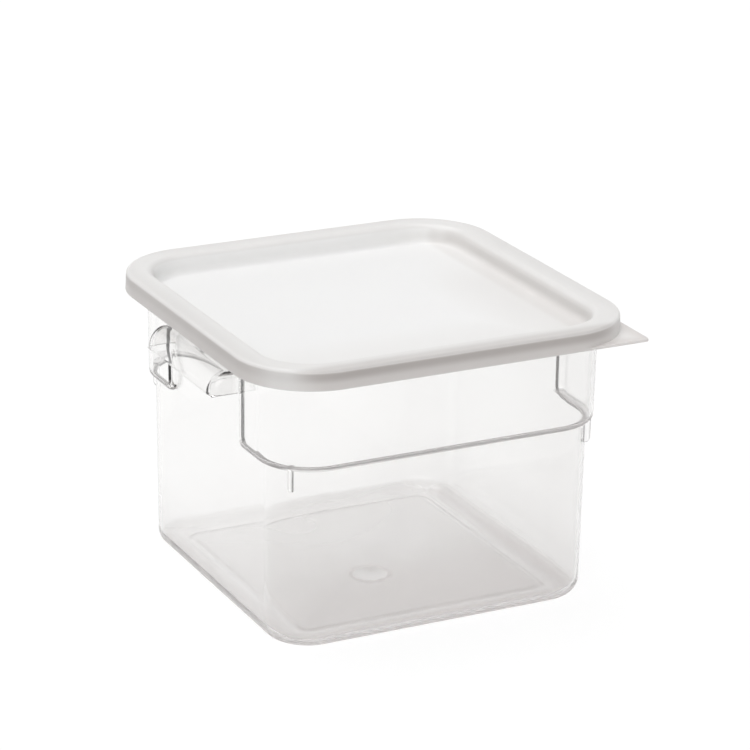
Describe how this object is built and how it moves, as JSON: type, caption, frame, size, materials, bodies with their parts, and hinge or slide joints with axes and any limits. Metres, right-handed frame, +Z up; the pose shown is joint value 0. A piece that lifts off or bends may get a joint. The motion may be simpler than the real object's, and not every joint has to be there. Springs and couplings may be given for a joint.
{
  "type": "deli food pan with lid",
  "caption": "Clear rounded-square food storage pan with a stepped collar and moulded side handles, closed by a white press-on lid with a stacking recess and a corner pull tab.",
  "frame": {"origin": "middle of the whole part's footprint, on the surface that the pan stands on", "axes": "+X runs from handle to handle, +Y from the front to the back, +Z up; the lid's pull tab is at the +X, -Y corner"},
  "size_m": [0.294, 0.2882, 0.21],
  "materials": {
    "pan": "clear, polished moulding",
    "lid": "milky white, satin moulding"
  },
  "bodies": {
    "pan": {"pan": "pan"},
    "lid": {"lid": "lid"}
  },
  "joints": [
    {"name": "lid_lift", "type": "slide", "parent": "pan", "child": "lid", "axis": [0, 0, 1], "range_m": [0, 0.12]}
  ]
}
